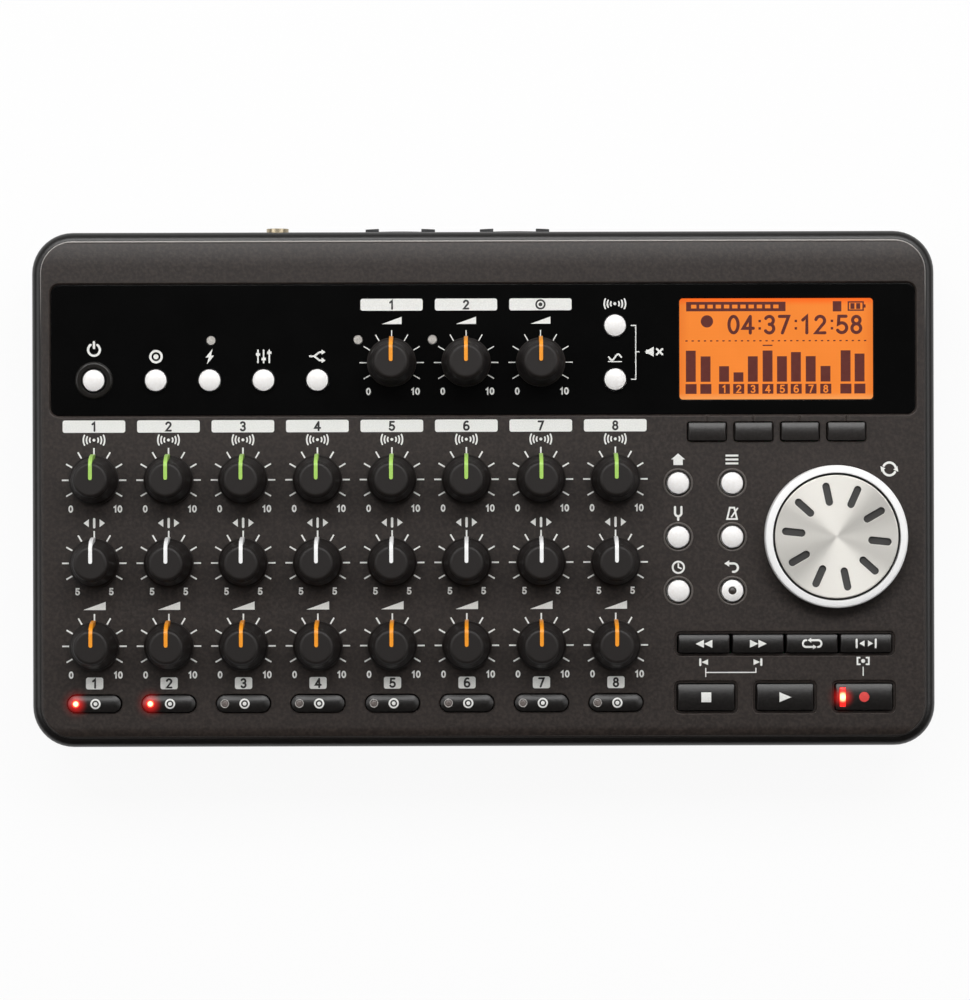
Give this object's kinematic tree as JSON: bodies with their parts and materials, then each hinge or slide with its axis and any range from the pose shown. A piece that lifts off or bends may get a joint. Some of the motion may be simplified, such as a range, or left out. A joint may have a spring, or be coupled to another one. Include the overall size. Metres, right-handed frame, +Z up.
{
  "type": "digital_multitrack_recorder",
  "caption": "Desktop digital multitrack recorder with rows of mixer knobs, a lit display, a data wheel and transport keys",
  "frame": {"origin": "On the table, under the centre of the case.", "axes": "+X to the right side of the case, +Y to its rear with the sockets, +Z up out of the control panel."},
  "size_m": [0.22, 0.1264, 0.0426],
  "materials": {
    "case_plastic": "fine grained moulding",
    "panel_paint": "satin dark grey paint",
    "gloss_black": "polished",
    "display_glass": "back lit",
    "board": "lacquered",
    "steel": "tinned",
    "socket_plastic": "moulded",
    "lamp_plastic": "clear lens",
    "gold_plate": "plated",
    "cell_jacket": "printed sleeve",
    "foot_rubber": "matt",
    "silver": "silver paint",
    "spun_metal": "spun",
    "knob_plastic": "soft touch",
    "white_plastic": "satin",
    "key_plastic": "satin"
  },
  "bodies": {
    "case": {"lower_case": "case_plastic", "top_panel": "panel_paint", "gloss_panel": "gloss_black", "display_module": "display_glass", "main_board": "board", "potentiometers": "steel", "wheel_encoder": "steel", "card_socket": "steel", "battery_contacts": "steel", "case_screws": "steel", "key_switches": "socket_plastic", "mic_sockets": "socket_plastic", "line_jacks": "socket_plastic", "power_socket": "socket_plastic", "indicator_lamps": "lamp_plastic", "mini_jack": "gold_plate", "battery_cells": "cell_jacket", "feet": "foot_rubber"},
    "wheel": {"data_wheel": "silver", "wheel_cap": "spun_metal"},
    "effect_knob_1": {"effect_knob_1": "knob_plastic"},
    "effect_knob_2": {"effect_knob_2": "knob_plastic"},
    "effect_knob_3": {"effect_knob_3": "knob_plastic"},
    "effect_knob_4": {"effect_knob_4": "knob_plastic"},
    "effect_knob_5": {"effect_knob_5": "knob_plastic"},
    "effect_knob_6": {"effect_knob_6": "knob_plastic"},
    "effect_knob_7": {"effect_knob_7": "knob_plastic"},
    "effect_knob_8": {"effect_knob_8": "knob_plastic"},
    "pan_knob_1": {"pan_knob_1": "knob_plastic"},
    "pan_knob_2": {"pan_knob_2": "knob_plastic"},
    "pan_knob_3": {"pan_knob_3": "knob_plastic"},
    "pan_knob_4": {"pan_knob_4": "knob_plastic"},
    "pan_knob_5": {"pan_knob_5": "knob_plastic"},
    "pan_knob_6": {"pan_knob_6": "knob_plastic"},
    "pan_knob_7": {"pan_knob_7": "knob_plastic"},
    "pan_knob_8": {"pan_knob_8": "knob_plastic"},
    "level_knob_1": {"level_knob_1": "knob_plastic"},
    "level_knob_2": {"level_knob_2": "knob_plastic"},
    "level_knob_3": {"level_knob_3": "knob_plastic"},
    "level_knob_4": {"level_knob_4": "knob_plastic"},
    "level_knob_5": {"level_knob_5": "knob_plastic"},
    "level_knob_6": {"level_knob_6": "knob_plastic"},
    "level_knob_7": {"level_knob_7": "knob_plastic"},
    "level_knob_8": {"level_knob_8": "knob_plastic"},
    "input_a_knob": {"input_a_knob": "knob_plastic"},
    "input_b_knob": {"input_b_knob": "knob_plastic"},
    "master_knob": {"master_knob": "knob_plastic"},
    "card_cover": {"card_cover": "case_plastic"},
    "battery_door": {"battery_door": "case_plastic"},
    "standby_button": {"standby_button": "white_plastic"},
    "setup_buttons": {"setup_buttons": "white_plastic"},
    "mute_buttons": {"mute_buttons": "white_plastic"},
    "menu_buttons": {"menu_buttons": "white_plastic"},
    "function_keys": {"function_keys": "key_plastic"},
    "search_keys": {"search_keys": "key_plastic"},
    "loop_keys": {"loop_keys": "key_plastic"},
    "stop_key": {"stop_key": "key_plastic"},
    "play_key": {"play_key": "key_plastic"},
    "record_key": {"record_key": "key_plastic"},
    "track_keys": {"track_keys": "key_plastic"}
  },
  "joints": [
    {"name": "effect_knob_1_turn", "type": "hinge", "parent": "case", "child": "effect_knob_1", "pos_m": [-0.0947, 0.00235, 0.031], "axis": [0, 0, -1], "range_deg": [-150, 150]},
    {"name": "effect_knob_2_turn", "type": "hinge", "parent": "case", "child": "effect_knob_2", "pos_m": [-0.07658, 0.00235, 0.031], "axis": [0, 0, -1], "range_deg": [-150, 150]},
    {"name": "effect_knob_3_turn", "type": "hinge", "parent": "case", "child": "effect_knob_3", "pos_m": [-0.05846, 0.00235, 0.031], "axis": [0, 0, -1], "range_deg": [-150, 150]},
    {"name": "effect_knob_4_turn", "type": "hinge", "parent": "case", "child": "effect_knob_4", "pos_m": [-0.04034, 0.00235, 0.031], "axis": [0, 0, -1], "range_deg": [-150, 150]},
    {"name": "effect_knob_5_turn", "type": "hinge", "parent": "case", "child": "effect_knob_5", "pos_m": [-0.02222, 0.00235, 0.031], "axis": [0, 0, -1], "range_deg": [-150, 150]},
    {"name": "effect_knob_6_turn", "type": "hinge", "parent": "case", "child": "effect_knob_6", "pos_m": [-0.0041, 0.00235, 0.031], "axis": [0, 0, -1], "range_deg": [-150, 150]},
    {"name": "effect_knob_7_turn", "type": "hinge", "parent": "case", "child": "effect_knob_7", "pos_m": [0.01402, 0.00235, 0.031], "axis": [0, 0, -1], "range_deg": [-150, 150]},
    {"name": "effect_knob_8_turn", "type": "hinge", "parent": "case", "child": "effect_knob_8", "pos_m": [0.03214, 0.00235, 0.031], "axis": [0, 0, -1], "range_deg": [-150, 150]},
    {"name": "pan_knob_1_turn", "type": "hinge", "parent": "case", "child": "pan_knob_1", "pos_m": [-0.0947, -0.01785, 0.031], "axis": [0, 0, -1], "range_deg": [-150, 150]},
    {"name": "pan_knob_2_turn", "type": "hinge", "parent": "case", "child": "pan_knob_2", "pos_m": [-0.07658, -0.01785, 0.031], "axis": [0, 0, -1], "range_deg": [-150, 150]},
    {"name": "pan_knob_3_turn", "type": "hinge", "parent": "case", "child": "pan_knob_3", "pos_m": [-0.05846, -0.01785, 0.031], "axis": [0, 0, -1], "range_deg": [-150, 150]},
    {"name": "pan_knob_4_turn", "type": "hinge", "parent": "case", "child": "pan_knob_4", "pos_m": [-0.04034, -0.01785, 0.031], "axis": [0, 0, -1], "range_deg": [-150, 150]},
    {"name": "pan_knob_5_turn", "type": "hinge", "parent": "case", "child": "pan_knob_5", "pos_m": [-0.02222, -0.01785, 0.031], "axis": [0, 0, -1], "range_deg": [-150, 150]},
    {"name": "pan_knob_6_turn", "type": "hinge", "parent": "case", "child": "pan_knob_6", "pos_m": [-0.0041, -0.01785, 0.031], "axis": [0, 0, -1], "range_deg": [-150, 150]},
    {"name": "pan_knob_7_turn", "type": "hinge", "parent": "case", "child": "pan_knob_7", "pos_m": [0.01402, -0.01785, 0.031], "axis": [0, 0, -1], "range_deg": [-150, 150]},
    {"name": "pan_knob_8_turn", "type": "hinge", "parent": "case", "child": "pan_knob_8", "pos_m": [0.03214, -0.01785, 0.031], "axis": [0, 0, -1], "range_deg": [-150, 150]},
    {"name": "level_knob_1_turn", "type": "hinge", "parent": "case", "child": "level_knob_1", "pos_m": [-0.0947, -0.03805, 0.031], "axis": [0, 0, -1], "range_deg": [-150, 150]},
    {"name": "level_knob_2_turn", "type": "hinge", "parent": "case", "child": "level_knob_2", "pos_m": [-0.07658, -0.03805, 0.031], "axis": [0, 0, -1], "range_deg": [-150, 150]},
    {"name": "level_knob_3_turn", "type": "hinge", "parent": "case", "child": "level_knob_3", "pos_m": [-0.05846, -0.03805, 0.031], "axis": [0, 0, -1], "range_deg": [-150, 150]},
    {"name": "level_knob_4_turn", "type": "hinge", "parent": "case", "child": "level_knob_4", "pos_m": [-0.04034, -0.03805, 0.031], "axis": [0, 0, -1], "range_deg": [-150, 150]},
    {"name": "level_knob_5_turn", "type": "hinge", "parent": "case", "child": "level_knob_5", "pos_m": [-0.02222, -0.03805, 0.031], "axis": [0, 0, -1], "range_deg": [-150, 150]},
    {"name": "level_knob_6_turn", "type": "hinge", "parent": "case", "child": "level_knob_6", "pos_m": [-0.0041, -0.03805, 0.031], "axis": [0, 0, -1], "range_deg": [-150, 150]},
    {"name": "level_knob_7_turn", "type": "hinge", "parent": "case", "child": "level_knob_7", "pos_m": [0.01402, -0.03805, 0.031], "axis": [0, 0, -1], "range_deg": [-150, 150]},
    {"name": "level_knob_8_turn", "type": "hinge", "parent": "case", "child": "level_knob_8", "pos_m": [0.03214, -0.03805, 0.031], "axis": [0, 0, -1], "range_deg": [-150, 150]},
    {"name": "input_a_knob_turn", "type": "hinge", "parent": "case", "child": "input_a_knob", "pos_m": [-0.02222, 0.0308, 0.031], "axis": [0, 0, -1], "range_deg": [-150, 150]},
    {"name": "input_b_knob_turn", "type": "hinge", "parent": "case", "child": "input_b_knob", "pos_m": [-0.0041, 0.0308, 0.031], "axis": [0, 0, -1], "range_deg": [-150, 150]},
    {"name": "master_knob_turn", "type": "hinge", "parent": "case", "child": "master_knob", "pos_m": [0.01402, 0.0308, 0.031], "axis": [0, 0, -1], "range_deg": [-150, 150]},
    {"name": "wheel_turn", "type": "hinge", "parent": "case", "child": "wheel", "pos_m": [0.0856, -0.0118, 0.031], "axis": [0, 0, -1], "continuous": true},
    {"name": "card_cover_swing", "type": "hinge", "parent": "case", "child": "card_cover", "pos_m": [-0.1092, 0.01975, 0.0145], "axis": [0, -1, 0], "range_deg": [0, 90]},
    {"name": "battery_door_lift", "type": "slide", "parent": "case", "child": "battery_door", "axis": [0, 0, -1], "range_m": [0, 0.03]},
    {"name": "standby_button_press", "type": "slide", "parent": "case", "child": "standby_button", "axis": [0, 0, -1], "range_m": [0, 0.0006], "stiffness_N_per_m": 1200},
    {"name": "setup_buttons_press", "type": "slide", "parent": "case", "child": "setup_buttons", "axis": [0, 0, -1], "range_m": [0, 0.0006], "stiffness_N_per_m": 1200},
    {"name": "mute_buttons_press", "type": "slide", "parent": "case", "child": "mute_buttons", "axis": [0, 0, -1], "range_m": [0, 0.0006], "stiffness_N_per_m": 1200},
    {"name": "menu_buttons_press", "type": "slide", "parent": "case", "child": "menu_buttons", "axis": [0, 0, -1], "range_m": [0, 0.0006], "stiffness_N_per_m": 1200},
    {"name": "function_keys_press", "type": "slide", "parent": "case", "child": "function_keys", "axis": [0, 0, -1], "range_m": [0, 0.0006], "stiffness_N_per_m": 1200},
    {"name": "search_keys_press", "type": "slide", "parent": "case", "child": "search_keys", "axis": [0, 0, -1], "range_m": [0, 0.0006], "stiffness_N_per_m": 1200},
    {"name": "loop_keys_press", "type": "slide", "parent": "case", "child": "loop_keys", "axis": [0, 0, -1], "range_m": [0, 0.0006], "stiffness_N_per_m": 1200},
    {"name": "stop_key_press", "type": "slide", "parent": "case", "child": "stop_key", "axis": [0, 0, -1], "range_m": [0, 0.0006], "stiffness_N_per_m": 1200},
    {"name": "play_key_press", "type": "slide", "parent": "case", "child": "play_key", "axis": [0, 0, -1], "range_m": [0, 0.0006], "stiffness_N_per_m": 1200},
    {"name": "record_key_press", "type": "slide", "parent": "case", "child": "record_key", "axis": [0, 0, -1], "range_m": [0, 0.0006], "stiffness_N_per_m": 1200},
    {"name": "track_keys_press", "type": "slide", "parent": "case", "child": "track_keys", "axis": [0, 0, -1], "range_m": [0, 0.0006], "stiffness_N_per_m": 1200}
  ]
}
